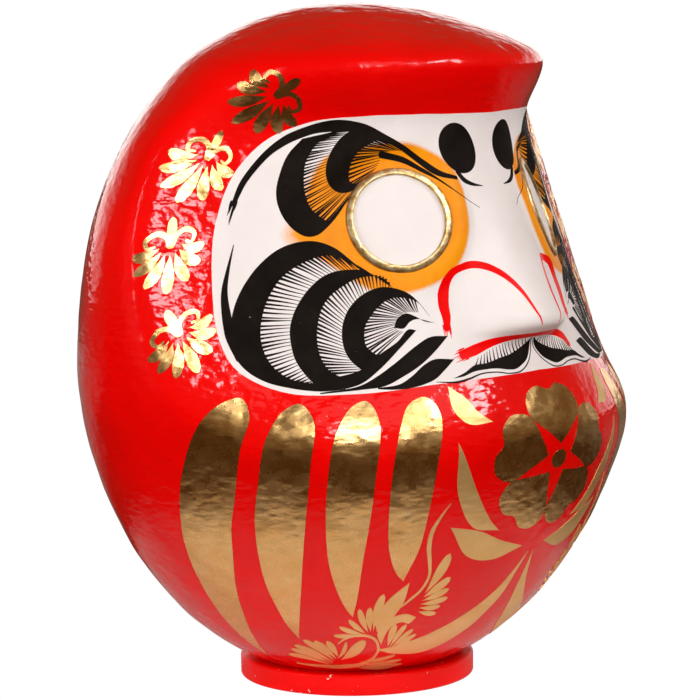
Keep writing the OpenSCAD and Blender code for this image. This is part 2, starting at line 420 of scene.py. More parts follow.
def filled(outlines, spacing, folds=None):
    """Triangles that fill the union of the outlines: places, and triples of their numbers."""
    places, edges = [], []
    for ring in outlines:
        first = len(places)
        places += [Vector(p) for p in ring]
        edges += [(first + i, first + (i + 1) % len(ring)) for i in range(len(ring))]
    grid = inner_points(outlines, spacing)
    if folds is not None:
        low, high = folds.min(0) - spacing / 2, folds.max(0) + spacing / 2
        grid = np.concatenate([grid[np.any((grid < low) | (grid > high), axis=1)], folds])
    places += [Vector(p) for p in grid]
    found = delaunay_2d_cdt(places, edges, [], 0, 1e-4, False)
    places = np.array([tuple(p) for p in found[0]])
    faces = np.array(found[2])
    middles = places[faces].mean(1)
    kept = np.zeros(len(faces), bool)
    for ring in outlines:
        kept |= inside(middles, ring)
    faces = faces[kept]
    a, b, c = places[faces[:, 0]], places[faces[:, 1]], places[faces[:, 2]]
    area = (b - a)[:, 0] * (c - a)[:, 1] - (b - a)[:, 1] * (c - a)[:, 0]
    solid = np.abs(area) > 1e-6
    faces, area = faces[solid], area[solid]
    faces[area < 0] = faces[area < 0][:, ::-1]
    used, numbers = np.unique(faces, return_inverse=True)
    return places[used], numbers.reshape(faces.shape)


def paint(name, outlines, material, lift, spacing=3.2, sunk=0.25, folds=None):
    """A coat of paint: the filled outlines, lifted off the body, with edges that go down into it.

    Lift, spacing of points and depth of edges are in mm. Folds are extra points where the body turns
    sharply. The piece comes with the unrolled places of its points.
    """
    places, faces = filled(outlines, spacing, folds)
    ways = {(f[i], f[(i + 1) % 3]) for f in faces.tolist() for i in range(3)}
    rim = sorted(e for e in ways if (e[1], e[0]) not in ways)
    low = {v: len(places) + i for i, v in enumerate(sorted({v for e in rim for v in e}))}
    points = np.concatenate([on_body(places, lift), on_body(places[list(low)], -sunk)])
    walls = [(b, a, low[a], low[b]) for a, b in rim]
    piece = add_mesh(name, points, faces.tolist() + walls, material, sharp=50)
    return piece, np.concatenate([places, places[list(low)]])


# ---- the face ----

# How far each coat of paint lies off the body, in mm.
GROUND_LIFT = 0.15
INK_LIFT = 0.32
GOLD_LIFT = 0.35
SCROLL_LIFT = GOLD_LIFT + 0.2

# The edge of the white ground, and of the orange halo round an eye, on one side.
FACE_EDGE = [(0, 506), (90, 507), (170, 506), (213, 501), (245, 488), (263, 466), (271, 425), (267, 375),
             (256, 325), (242, 301), (213, 285), (165, 282), (90, 287), (0, 290)]
HALO_EDGE = [(44, 442), (49, 458), (66, 471), (100, 483), (150, 482), (190, 474), (206, 455), (214, 428),
             (221, 410), (205, 398), (178, 381), (150, 364), (122, 360), (90, 367), (64, 382), (48, 410)]

# Outer and inner edges of the brow's and the cheek's brush strokes, on one side.
BROW_TOP = [(264, 434), (260, 455), (248, 476), (229, 492), (202, 501), (178, 504), (152, 501), (129, 492),
            (105, 481), (82, 468), (66, 459), (48, 454)]
BROW_UNDER = [(261, 436), (255, 455), (243, 473), (228, 484), (206, 492), (183, 494), (166, 494),
              (137, 487), (115, 480), (93, 468), (73, 456), (48, 451)]
BROW_HOOK_OUT = [(214, 489), (226, 476), (232, 459), (233, 444), (228, 429), (218, 416), (206, 409),
                 (196, 410), (186, 418), (176, 429), (167, 442)]
BROW_HOOK_IN = [(183, 494), (195, 488), (204, 480), (210, 469), (211, 457), (209, 444), (204, 433),
                (197, 426), (188, 421), (178, 430), (167, 442)]
BROW_CURL_OUT = [(166, 495), (177, 488), (187, 476), (191, 463), (188, 451), (180, 444), (172, 443),
                 (163, 445)]
BROW_CURL_IN = [(134, 488), (155, 479), (164, 471), (168, 461), (168, 454), (165, 451), (157, 451)]
BROW_LEG = [(132, 474), (105, 468), (84, 459), (70, 452), (51, 440), (29, 427)]

CHEEK_OUT = [(157, 380), (168, 389), (182, 399), (199, 405), (216, 404), (229, 398), (241, 385), (248, 371),
             (252, 354), (252, 337), (249, 319), (240, 304), (227, 294), (209, 288), (188, 285), (172, 286)]
CHEEK_IN = [(157, 380), (167, 387), (178, 392), (192, 393), (205, 389), (216, 383), (224, 375), (230, 363),
            (233, 351), (234, 336), (232, 323), (227, 311), (220, 302), (210, 295), (194, 291)]
MIDDLE_OUT = [(147, 376), (156, 380), (167, 381), (181, 380), (193, 375), (204, 364), (211, 351), (214, 337),
              (213, 325), (209, 311), (203, 301), (193, 290)]
MIDDLE_IN = [(130, 365), (138, 373), (151, 375), (164, 373), (174, 368), (184, 361), (191, 351), (194, 338),
             (194, 325), (191, 312), (186, 303), (180, 298), (170, 293)]
INNER_OUT = [(98, 340), (106, 351), (116, 360), (130, 365), (140, 366), (150, 364), (160, 359), (169, 350),
             (174, 339), (175, 328), (173, 317), (168, 308), (158, 299)]
INNER_IN = [(98, 340), (109, 353), (124, 357), (134, 356), (143, 351), (151, 343), (156, 335), (157, 328),
            (156, 320), (152, 315), (146, 311)]
CHEEK_FOOT_UP = [(112, 330), (119, 331), (129, 322), (147, 311), (162, 300), (196, 293)]
CHEEK_FOOT_LOW = [(112, 330), (127, 317), (146, 300), (160, 290), (174, 286), (190, 285)]


def ground_outline():
    """The white ground's whole edge, from its one side's."""
    edge = curve(FACE_EDGE, 2.4)
    return np.concatenate([edge, (edge * (-1, 1))[::-1][1:-1]])


def brow_outlines(rng):
    """The brow: a long sweep, two hooked crescents with combed hairs, and the spot by the nose."""
    outlines = [
        between(BROW_TOP, BROW_UNDER),
        between(BROW_HOOK_OUT, BROW_HOOK_IN),
        between(BROW_CURL_OUT, BROW_CURL_IN),
        brush(BROW_LEG, [6.0, 5.4, 3.6, 1.8, 0.6, 0.4]),
        oval((40, 477.5), 24.5, 21.5, 60, 0.12),
        brush([(46, 458), (40, 451), (31, 447), (17, 445)], [5, 4.6, 3.2, 0.5]),
    ]
    outlines += comb(BROW_HOOK_IN[:9] + [(180, 425)], BROW_CURL_OUT + [(159, 447)], 36, 1.9, rng)
    outlines += comb(BROW_CURL_IN, [(108, 477), (121, 477), (131, 474), (134, 468), (139, 462), (143, 459)],
                     17, 2.0, rng)
    outlines += dry_end((262, 439), (265, 416), 6, rng, 4.5)
    return outlines


def dry_end(at, to, count, rng, spread, width=0.9):
    """Bristle marks side by side where a drying brush leaves or meets the surface."""
    at, to = np.array(at, float), np.array(to, float)
    way = (to - at) / np.linalg.norm(to - at)
    side = np.array([-way[1], way[0]])
    marks = []
    for offset in np.linspace(-spread / 2, spread / 2, count):
        near = at + side * (offset + rng.uniform(-0.3, 0.3))
        far = near + (to - at) * rng.uniform(0.3, 1) + side * rng.uniform(-0.5, 0.5)
        marks.append(brush([near, (near + far) / 2, far], [width, width * rng.uniform(0.6, 1.3), 0.3]))
    return marks


def cheek_outlines(rng):
    """The cheek: three nested crescents with combed hairs, two leaves, a beak and the outer line."""
    outlines = [
        between(CHEEK_OUT, CHEEK_IN),
        between(MIDDLE_OUT + [(184, 286)], MIDDLE_IN + [(168, 288)]),
        between(INNER_OUT, INNER_IN),
        between(CHEEK_FOOT_UP, CHEEK_FOOT_LOW),
        between([(131, 334), (128, 340), (120, 344), (111, 341), (104, 337), (94, 335)],
                [(132, 333), (123, 332), (117, 337), (110, 339), (94, 335)]),
        between([(84, 324), (100, 324), (113, 318), (134, 304), (148, 295), (162, 288), (190, 284)],
                [(84, 324), (98, 312), (112, 302), (127, 294), (143, 287), (162, 285), (190, 283)]),
        between([(82, 305), (99, 306), (109, 302), (120, 294), (131, 288), (148, 286)],
                [(82, 305), (92, 297), (102, 290), (120, 285), (134, 284), (148, 285)]),
        brush([(258, 404), (259, 385), (259, 366), (256, 349), (251, 330), (244, 312)],
              [0.5, 2, 3.6, 5, 6, 4]),
    ]
    outlines += comb(CHEEK_IN, MIDDLE_OUT, 52, 2.2, rng)
    outlines += comb(MIDDLE_IN[:-1], INNER_OUT[3:], 40, 2.1, rng)
    outlines += comb(INNER_IN[1:], [(108, 345), (120, 345), (128, 340), (131, 335), (129, 331), (124, 329)],
                     28, 1.9, rng)
    return outlines


def moustache_outlines(rng):
    """One side of the moustache: a leaf with combed hairs over it and a thin line under it."""
    top = [(86, 290), (75, 294), (65, 299), (53, 300), (39, 303), (28, 305), (16, 309), (6, 314),
           (1.5, 318)]
    low = [(86, 290), (77, 291), (67, 294), (57, 295), (45, 295), (32, 293), (25, 293), (17, 296),
           (10, 300), (4, 308), (1.5, 318)]
    outlines = [
        between(top, low),
        brush([(1, 317), (2, 308), (9, 298), (20, 291), (33, 290), (45, 292), (60, 292), (72, 289),
               (84, 287), (101, 288)], [0.5, 0.8, 0.9, 1.0, 0.9, 0.9, 1.1, 1.4, 1.5, 0.4]),
    ]
    outlines += comb(top[2:8], [(61, 304), (46, 310), (28, 315), (8, 317)], 16, 1.7, rng)
    return outlines


def nostril_outline():
    return brush(
        [(84, 330), (83, 339), (84, 348), (83, 357), (79, 367), (72, 375), (62, 379), (50, 381), (39, 379),
         (30, 374), (23, 367), (18, 358), (15, 348), (13, 339), (10, 330)],
        [5, 8, 10, 11, 9, 7, 6, 6, 6, 5.4, 4.6, 3.4, 2.4, 1.6, 0.6])


def mouth_outline():
    return brush([(-73, 308), (-62, 311), (-45, 316), (-28, 319), (-8, 320), (17, 320), (40, 317),
                  (54, 312), (61, 305)], [7.5, 8.6, 7, 5, 4, 4.6, 6, 7, 5], step=1)


# ---- gold ornament ----

STRIPES = [
    [(297, 37), (285, 55), (273, 85), (266, 111), (258, 141), (252, 172), (245, 199), (237, 241),
     (233, 268), (240, 282), (251, 277), (263, 255), (278, 212), (286, 180), (292, 150), (296, 113),
     (299, 82), (300, 56)],
    [(229, 62), (220, 85), (212, 113), (206, 144), (200, 183), (195, 225), (193, 262), (203, 276),
     (213, 271), (221, 253), (228, 214), (234, 184), (238, 144), (239, 117), (237, 94), (234, 76)],
    [(170, 86), (166, 102), (161, 139), (156, 175), (152, 216), (149, 262), (157, 276), (168, 272),
     (178, 253), (184, 214), (187, 177), (187, 138), (182, 111), (176, 95)],
    [(126, 119), (116, 149), (112, 179), (108, 223), (103, 266), (112, 277), (126, 272), (134, 254),
     (140, 220), (142, 174), (140, 147), (133, 127)],
]


def fan(bases, tips, widths, bend=0.0):
    """Leaves that spread side by side from near one base."""
    bases = along(np.asarray(bases, float), np.linspace(0, 1, len(tips)))
    return [leaf(b, tip, w, bend) for b, tip, w in zip(bases, tips, widths)]


def scroll_outlines():
    """The leaf scroll on the lower front: a tendril, a loop and sprays of leaves."""
    outlines = [
        brush([(95, 188), (102, 176), (107, 164), (108, 150), (105, 135), (103, 122), (107, 110),
               (116, 101), (126, 93), (134, 89)], [0.5, 2, 3.4, 3.8, 3, 2.4, 2.2, 2, 1.4, 0.5]),
        between([(138, 55), (144, 66), (140, 77), (129, 84), (117, 86), (106, 82)],
                [(138, 55), (135, 66), (130, 74), (120, 78), (112, 76), (106, 82)]),
        between([(145, 69), (134, 79), (123, 97), (120, 117)],
                [(145, 69), (148, 83), (138, 101), (120, 117)]),
        brush([(139, 48), (144, 59), (154, 65), (166, 66), (178, 63), (188, 57)],
              [3, 2.8, 2.6, 2.6, 2.2, 0.8]),
        brush([(139, 49), (144, 38), (160, 31), (186, 28), (208, 27), (238, 28), (262, 30)],
              [3, 3.4, 4, 4.6, 4, 2.4, 0.6]),
        leaf((188, 38), (156, 60), 12, 0.05),
        leaf((192, 40), (178, 59), 4.6, 0.1),
    ]
    outlines += fan([(103, 105), (106, 88)],
                    [(88, 142), (82, 119), (80, 108), (78, 99), (83, 91), (85, 84)],
                    [9.5, 8, 6.4, 6, 5, 4.6], 0.03)
    outlines += fan([(149, 70), (162, 67)],
                    [(142, 108), (154, 95), (164, 94), (174, 83), (184, 75), (191, 66)],
                    [8, 7, 6.4, 5.6, 5, 4.4], -0.04)
    outlines += fan([(191, 41), (210, 31)],
                    [(200, 60), (214, 60), (226, 61), (240, 54), (248, 49), (258, 42)],
                    [8, 8, 8, 7.4, 6.6, 5.6], 0.04)
    outlines += fan([(129, 52), (119, 48)], [(126, 76), (114, 75), (104, 69), (98, 63), (100, 56)],
                    [8, 6.4, 6, 5.4, 4.6], -0.03)
    outlines += fan([(160, 34), (165, 27)], [(113, 40), (98, 33), (90, 27), (104, 23)],
                    [4.4, 4.4, 4, 2.6], 0.03)
    return outlines


def blossom_outlines(centre=(0, 216), reach=60, petals=5):
    """A generic plum blossom for the middle of the belly; a petal's shape is in shares of its reach."""
    centre = np.array(centre, float)
    shape = [(0.22, 0), (0.40, 0.20), (0.66, 0.47), (0.92, 0.42), (1.03, 0.20), (0.97, 0), (1.03, -0.20),
             (0.92, -0.42), (0.66, -0.47), (0.40, -0.20)]
    outlines = []
    for i in range(petals):
        turn = math.radians(90 + 360 * i / petals)
        way = np.array([math.cos(turn), math.sin(turn)])
        side = np.array([-way[1], way[0]])
        outlines.append(petal([centre + reach * (u * way + v * side) for u, v in shape]))
    outlines.append(oval(centre, 8, 8, 28))
    return outlines


def ribbon_outlines():
    """One side of the brushed swag under the blossom, and the broad leaves beside it."""
    return [
        between([(142, 49), (119, 52), (87, 60), (59, 72), (34, 88), (15, 108), (3, 134)],
                [(142, 49), (114, 42), (74, 41), (44, 51), (23, 69), (10, 92), (3, 134)]),
        between([(14, 140), (40, 148), (66, 160), (92, 166)], [(14, 140), (44, 131), (72, 138), (92, 166)]),
        between([(46, 158), (58, 170), (74, 196), (92, 240)], [(46, 158), (72, 164), (90, 196), (92, 240)]),
        between([(62, 254), (72, 262), (80, 274), (92, 284)], [(62, 254), (82, 254), (92, 266), (92, 284)]),
    ]


def palmette(spread=78, leaves=7, reach=44, width=10):
    """A fan of leaves that opens upwards from the origin, in mm, over two curls and a bud."""
    outlines = []
    for turn in np.linspace(-spread, spread, leaves):
        lean = math.radians(90 + turn)
        length = reach * (1 - 0.28 * abs(turn) / spread)
        way = np.array([math.cos(lean), math.sin(lean)])
        outlines.append(leaf(way * 9, way * length, width, -0.0016 * turn))
    curl = [(1, 2), (4, -7), (12, -11), (20, -6), (18, 1), (13, 0)]
    outlines += [brush(c, [4, 4.5, 4.5, 4, 3, 2]) for c in (curl, [(-x, y) for x, y in curl])]
    outlines.append(leaf((0, 2), (0, -24), 8))
    return outlines


def stretch_round(at, step=6):
    """How many mm of the body lie under one unrolled mm, going round."""
    a = (at[0] + np.array([-step, step])) / UNROLL_R
    ends = body_point(a, np.full(2, float(at[1])))
    return np.linalg.norm(ends[1] - ends[0]) / (2 * step)


def side_outlines(count=4, stretch_up=1.08):
    """Gold palmettes down the side of the hood, between the face and the crest."""
    stem = curve([(212, 533), (244, 521), (273, 494), (289, 455), (291, 410), (286, 365), (273, 322),
                  (256, 290)])
    outlines = []
    for i in range(count):
        at, ahead = along(stem, [(i + 0.3) / count, (i + 0.7) / count])
        stretch = np.array([stretch_round(at), stretch_up])
        way = (ahead - at) * stretch
        way /= np.linalg.norm(way)
        side = np.array([way[1], -way[0]])
        for shape in palmette():
            local = shape[:, :1] * side + shape[:, 1:] * way
            outlines.append(at + local / stretch)
    return outlines


# ---- materials ----

def new_material(name):
    material = bpy.data.materials.new(name)
    material.use_nodes = True
    tree = material.node_tree
    shader = tree.nodes["Principled BSDF"]
    return material, tree, shader


def set_sockets(node, values):
    """Sets a node's own sockets to plain values."""
    for name, value in values.items():
        node.inputs[name].default_value = value


def object_space(tree, scale=(1, 1, 1)):
    where = tree.nodes.new("ShaderNodeTexCoord")
    mapping = tree.nodes.new("ShaderNodeMapping")
    set_sockets(mapping, {"Scale": scale})
    tree.links.new(where.outputs["Object"], mapping.inputs["Vector"])
    return mapping.outputs["Vector"]


def noise(tree, scale, detail=3.0, roughness=0.55, stretch=(1, 1, 1)):
    node = tree.nodes.new("ShaderNodeTexNoise")
    set_sockets(node, {"Scale": scale, "Detail": detail, "Roughness": roughness})
    tree.links.new(object_space(tree, stretch), node.inputs["Vector"])
    return node.outputs["Fac"]


def ramp(tree, value, stops):
    """A colour ramp; stops are (place, colour or grey)."""
    node = tree.nodes.new("ShaderNodeValToRGB")
    elements = node.color_ramp.elements
    while len(elements) < len(stops):
        elements.new(0.5)
    for element, (place, colour) in zip(elements, stops):
        element.position = place
        element.color = (*colour, 1) if isinstance(colour, tuple) else (colour, colour, colour, 1)
    tree.links.new(value, node.inputs["Fac"])
    return node.outputs["Color"]


def math_node(tree, operation, a, b):
    node = tree.nodes.new("ShaderNodeMath")
    node.operation = operation
    for socket, value in zip(node.inputs, (a, b)):
        if isinstance(value, (int, float)):
            socket.default_value = value
        else:
            tree.links.new(value, socket)
    return node.outputs["Value"]


def mix_colour(tree, share, a, b):
    node = tree.nodes.new("ShaderNodeMix")
    node.data_type = "RGBA"
    for name, value in (("Factor", share), ("A", a), ("B", b)):
        socket = [s for s in node.inputs if s.name == name and s.enabled][0]
        if isinstance(value, tuple):
            socket.default_value = (*value, 1)
        else:
            tree.links.new(value, socket)
    return [s for s in node.outputs if s.enabled][0]


def bump(tree, shader, height, distance, coat=False):
    node = tree.nodes.new("ShaderNodeBump")
    set_sockets(node, {"Distance": distance})
    tree.links.new(height, node.inputs["Height"])
    tree.links.new(node.outputs["Normal"], shader.inputs["Normal"])
    if coat:
        tree.links.new(node.outputs["Normal"], shader.inputs["Coat Normal"])


def paper_height(tree):
    """The fine crumple of pasted paper: soft dents and creases that run mostly level."""
    dents = noise(tree, 75, detail=1, roughness=0.4)
    creases = noise(tree, 95, detail=1, roughness=0.4, stretch=(1, 1, 2.2))
    return math_node(tree, "ADD", math_node(tree, "MULTIPLY", creases, 0.7), dents)


def red_lacquer():
    """Glossy red lacquer: a clear coat over a red with little shine of its own."""
    material, tree, shader = new_material("red_lacquer")
    tone = ramp(tree, noise(tree, 9, detail=4), [(0.35, (0.79, 0.0, 0.0)), (0.65, (0.89, 0.0005, 0.0003))])
    tree.links.new(tone, shader.inputs["Base Color"])
    rough = ramp(tree, noise(tree, 60, detail=2), [(0.3, 0.40), (0.7, 0.55)])
    tree.links.new(rough, shader.inputs["Roughness"])
    set_sockets(shader, {"Specular IOR Level": 0.05, "Coat Weight": 1.0, "Coat Roughness": 0.06,
                         "Coat IOR": 1.35})
    pores = math_node(tree, "MULTIPLY", noise(tree, 230, detail=2), 0.22)
    bump(tree, shader, math_node(tree, "ADD", paper_height(tree), pores), 0.0008, coat=True)
    return material


def foot_lacquer():
    """Red lacquer with small white chips and a duller, streaky finish."""
    material, tree, shader = new_material("foot_lacquer")
    tone = ramp(tree, noise(tree, 14, detail=4, stretch=(1, 1, 4)),
                [(0.3, (0.80, 0.001, 0.001)), (0.7, (0.95, 0.002, 0.001))])
    chips = ramp(tree, noise(tree, 170, detail=2, roughness=0.6), [(0.70, 0.0), (0.73, 1.0)])
    colour = mix_colour(tree, chips, tone, (0.86, 0.74, 0.68))
    tree.links.new(colour, shader.inputs["Base Color"])
    set_sockets(shader, {"Roughness": 0.5, "Specular IOR Level": 0.1, "Coat Weight": 0.35,
                         "Coat Roughness": 0.25})
    height = math_node(tree, "ADD", paper_height(tree), math_node(tree, "MULTIPLY", chips, -0.4))
    bump(tree, shader, height, 0.0006, coat=True)
    return material


def gold_leaf(name, rough, metal):
    """Brushed-on metallic gold, wrinkled like the paper; thin gold has less metal and more roughness."""
    material, tree, shader = new_material(name)
    tone = ramp(tree, noise(tree, 30, detail=3, stretch=(1, 1, 1.8)),
                [(0.30, (0.86, 0.52, 0.18)), (0.55, (0.92, 0.60, 0.24)), (0.75, (0.95, 0.66, 0.30))])
    tree.links.new(tone, shader.inputs["Base Color"])
    set_sockets(shader, {"Metallic": metal})
    roughness = ramp(tree, noise(tree, 90, detail=2), [(0.3, rough - 0.05), (0.7, rough + 0.08)])
    tree.links.new(roughness, shader.inputs["Roughness"])
    bump(tree, shader, paper_height(tree), 0.0006)
    return material


def rim_gold():
    """Thick gold paint on the eye rims, mottled and streaked by the brush."""
    material, tree, shader = new_material("rim_gold")
    streaks = noise(tree, 170, detail=3, roughness=0.6)
    tone = ramp(tree, streaks,
                [(0.35, (0.62, 0.40, 0.14)), (0.5, (0.88, 0.66, 0.32)), (0.65, (0.98, 0.84, 0.56))])
    tree.links.new(tone, shader.inputs["Base Color"])
    set_sockets(shader, {"Metallic": 1.0})
    rough = ramp(tree, noise(tree, 90), [(0.3, 0.34), (0.7, 0.48)])
    tree.links.new(rough, shader.inputs["Roughness"])
    bump(tree, shader, streaks, 0.0007)
    return material


def face_ground():
    """Shell-white ground with the soft orange halo round each eye."""
    material, tree, shader = new_material("face_ground")
    white = ramp(tree, noise(tree, 22, detail=4),
                 [(0.35, (0.86, 0.79, 0.77)), (0.65, (0.90, 0.84, 0.825))])
    orange = ramp(tree, noise(tree, 30, detail=3),
                  [(0.35, (0.90, 0.27, 0.001)), (0.65, (0.97, 0.34, 0.001))])
    halo = tree.nodes.new("ShaderNodeAttribute")
    halo.attribute_name = "halo"
    spray = math_node(tree, "MULTIPLY", math_node(tree, "SUBTRACT", noise(tree, 900, detail=1), 0.5), 0.35)
    share = ramp(tree, math_node(tree, "ADD", halo.outputs["Fac"], spray), [(0.25, 0.0), (0.75, 1.0)])
    tree.links.new(mix_colour(tree, share, white, orange), shader.inputs["Base Color"])
    set_sockets(shader, {"Roughness": 0.5, "Specular IOR Level": 0.2})
    bump(tree, shader, paper_height(tree), 0.00022)
    return material


def ink(name, dark, light, rough):
    """Brushed ink with a little tone and a few pinholes that show the white ground."""
    material, tree, shader = new_material(name)
    tone = ramp(tree, noise(tree, 40, detail=5, roughness=0.65), [(0.35, dark), (0.7, light)])
    holes = ramp(tree, noise(tree, 520, detail=1), [(0.83, 0.0), (0.845, 1.0)])
    tree.links.new(mix_colour(tree, holes, tone, (0.85, 0.78, 0.75)), shader.inputs["Base Color"])
    set_sockets(shader, {"Roughness": rough, "Specular IOR Level": 0.06})
    bump(tree, shader, paper_height(tree), 0.0002)
    return material


def dry_matter(name, dark, light, scale, rough):
    """A plain dry material with mottled tone: paper, board or clay."""
    material, tree, shader = new_material(name)
    mottle = noise(tree, scale, detail=6, roughness=0.65)
    tree.links.new(ramp(tree, mottle, [(0.3, dark), (0.7, light)]), shader.inputs["Base Color"])
    set_sockets(shader, {"Roughness": rough})
    bump(tree, shader, mottle, 0.0005)
    return material


# ---- the pieces ----

def halo_share(places):
    """How orange the ground is at each place: 1 well inside the halo, 0 outside it and in the eye."""
    edge = petal(HALO_EDGE, 4)
    spots = np.abs(places)
    distance = np.full(len(spots), 1e9)
    for p, q in zip(edge, np.roll(edge, -1, axis=0)):
        way = q - p
        t = clamp01(((spots - p) @ way) / (way @ way))
        distance = np.minimum(distance, np.linalg.norm(spots - p - t[:, None] * way, axis=1))
    signed = np.where(inside(spots, edge), distance, -distance)
    outer_end = smooth01((spots[:, 0] - 185) / 40)
    soft = 3.5 + 9 * outer_end
    share = clamp01(0.5 + signed / (2 * soft))
    points = body_point(spots[:, 0] / UNROLL_R, spots[:, 1])
    from_eye = np.linalg.norm(points - (EYE_X, EYE_Y, EYE_Z), axis=1)
    return np.where(from_eye < RIM_R - RIM_W / 2, 0, share)


def make_ground(material):
    """The white ground, with the halo's share stored on its points."""
    across, up = np.meshgrid(np.arange(-62, 63, 2.0), NOSE_FOLD)
    under_nose = np.stack([across.ravel(), up.ravel()], -1)
    piece, places = paint("face_ground", [ground_outline()], material, GROUND_LIFT, 2.6,
                          folds=under_nose)
    layer = piece.data.attributes.new("halo", "FLOAT", "POINT")
    layer.data.foreach_set("value", halo_share(places).astype(np.float32))


def make_face_ink(black, red):
    """The black brows, cheeks and moustache, and the red lines round the nose and of the mouth."""
    rng = np.random.default_rng(5)
    strokes = {"brow": brow_outlines(rng), "cheek": cheek_outlines(rng), "moustache": moustache_outlines(rng)}
    for name, side in SIDES.items():
        for part, outlines in strokes.items():
            paint(f"{part}_ink_{name}", mirrored(outlines, side), black, INK_LIFT)
        nostril = [nostril_outline()] + dry_end((84, 333), (83, 320), 6, rng, 6.5, 1.1)
        paint(f"nostril_line_{name}", mirrored(nostril, side), red, INK_LIFT)
    mouth = [mouth_outline()] + dry_end((-70, 309), (-86, 304), 8, rng, 9, 1.1)
    paint("mouth_line", mouth, red, INK_LIFT)


def make_gold(gold, thin_gold):
    for name, side in SIDES.items():
        stripes = mirrored([petal(s) for s in STRIPES], side)
        paint(f"gold_stripes_{name}", stripes, gold, GOLD_LIFT)
        paint(f"leaf_scroll_{name}", mirrored(scroll_outlines(), side), thin_gold,
              SCROLL_LIFT, 1.8)
        paint(f"side_fans_{name}", mirrored(side_outlines(), side), gold, GOLD_LIFT, 2.4)
        paint(f"belly_ribbons_{name}", mirrored(ribbon_outlines(), side), thin_gold,
              GOLD_LIFT)
    paint("belly_blossom", blossom_outlines(), gold, GOLD_LIFT)


# The rim's profile: shares of its width, from its outer edge in, and of its height.
RIM_PROFILE = [(0, -0.25), (0, 0.2), (0.08, 0.45), (0.3, 0.68), (0.55, 0.86), (0.78, 0.98), (0.9, 0.94),
               (0.98, 0.7), (1, -0.25)]


def make_rim(name, side, gold, around=220, unevenness=0.35):
    """A raised paste rim round one eye, slightly uneven where it was piped on by hand."""
    rng = np.random.default_rng(23 + side)
    out = Vector(eye_way(side))
    right = Vector((0, 0, 1)).cross(out).normalized()
    up = out.cross(right)
    centre = Vector((side * EYE_X, EYE_Y, EYE_Z))
    turns = np.arange(around) * 2 * math.pi / around
    wobble = np.zeros((3, around))
    for k in range(2, 14):
        size = 0.4 / k
        for row in wobble:
            row += size * rng.normal() * np.cos(k * turns + rng.uniform(0, 2 * math.pi))
    wobble *= unevenness
    points = []
    for i, turn in enumerate(turns):
        way = right * math.cos(turn) + up * math.sin(turn)
        outer = RIM_R - 0.3 + wobble[0, i]
        inner = RIM_R - RIM_W + wobble[1, i]
        tall = RIM_H - 0.5 + wobble[2, i]
        for share, rise in RIM_PROFILE:
            points.append(centre + way * (outer + (inner - outer) * share) + out * tall * rise)
    faces = []
    across = len(RIM_PROFILE)
    for i in range(around):
        k = (i + 1) % around
        for j in range(across - 1):
            faces.append((i * across + j, k * across + j, k * across + j + 1, i * across + j + 1))
    piece = add_mesh(f"eye_rim_gilt_{name}", points, faces, gold)
    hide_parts(f"eye_rim_{name}")


def dress(node, material):
    """Gives a CAD node that stays its material."""
    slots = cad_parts[node].data.materials
    slots.clear()
    slots.append(material)


# ---- camera ----

CAMERA_TURN = math.radians(47.664)
CAMERA_AIM = math.radians(47.609)
CAMERA_DISTANCE = 2.691
CAMERA_HEIGHT = 0.6133
CAMERA_PITCH = math.radians(6.816)
CAMERA_ROLL = math.radians(-0.788)
CAMERA_LENS = 155.85


def make_camera():
    data = bpy.data.cameras.new("camera")
    data.lens = CAMERA_LENS
    data.sensor_width = 36
    data.clip_end = 200
    camera = bpy.data.objects.new("camera", data)
    ahead = Vector((math.sin(CAMERA_AIM) * math.cos(CAMERA_PITCH),
                    math.cos(CAMERA_AIM) * math.cos(CAMERA_PITCH), -math.sin(CAMERA_PITCH)))
    right = ahead.cross(Vector((0, 0, 1))).normalized()
    up = right.cross(ahead)
    x = right * math.cos(CAMERA_ROLL) + up * math.sin(CAMERA_ROLL)
    y = up * math.cos(CAMERA_ROLL) - right * math.sin(CAMERA_ROLL)
    turn = Matrix((x, y, -ahead)).transposed().to_4x4()
    place = Vector((-math.sin(CAMERA_TURN), -math.cos(CAMERA_TURN), 0)) * CAMERA_DISTANCE
    camera.matrix_world = Matrix.Translation(place + Vector((0, 0, CAMERA_HEIGHT))) @ turn
    scene = bpy.context.scene
    scene.collection.objects.link(camera)
    scene.camera = camera
    scene.view_settings.view_transform = "Standard"


# ---- floor, room and lights ----

def behind_doll(tree, where):
    """How far a place or a direction lies behind the doll, seen from the camera's side."""
    node = tree.nodes.new("ShaderNodeVectorMath")
    node.operation = "DOT_PRODUCT"
    node.inputs[1].default_value = (math.sin(CAMERA_TURN), math.cos(CAMERA_TURN), 0)
    tree.links.new(where, node.inputs[0])
    return node.outputs["Value"]


def white_when_seen(tree, real, white_kind, output_kind):
    """Shows plain white to the camera, and the real shader to all other rays."""
    white = tree.nodes.new(white_kind)
    set_sockets(white, {"Color": (1, 1, 1, 1), "Strength": 1.02})
    seen = tree.nodes.new("ShaderNodeLightPath")
    mix = tree.nodes.new("ShaderNodeMixShader")
    out = tree.nodes.new(output_kind)
    tree.links.new(seen.outputs["Is Camera Ray"], mix.inputs["Fac"])
    tree.links.new(real, mix.inputs[1])
    tree.links.new(white.outputs[0], mix.inputs[2])
    tree.links.new(mix.outputs["Shader"], out.inputs["Surface"])


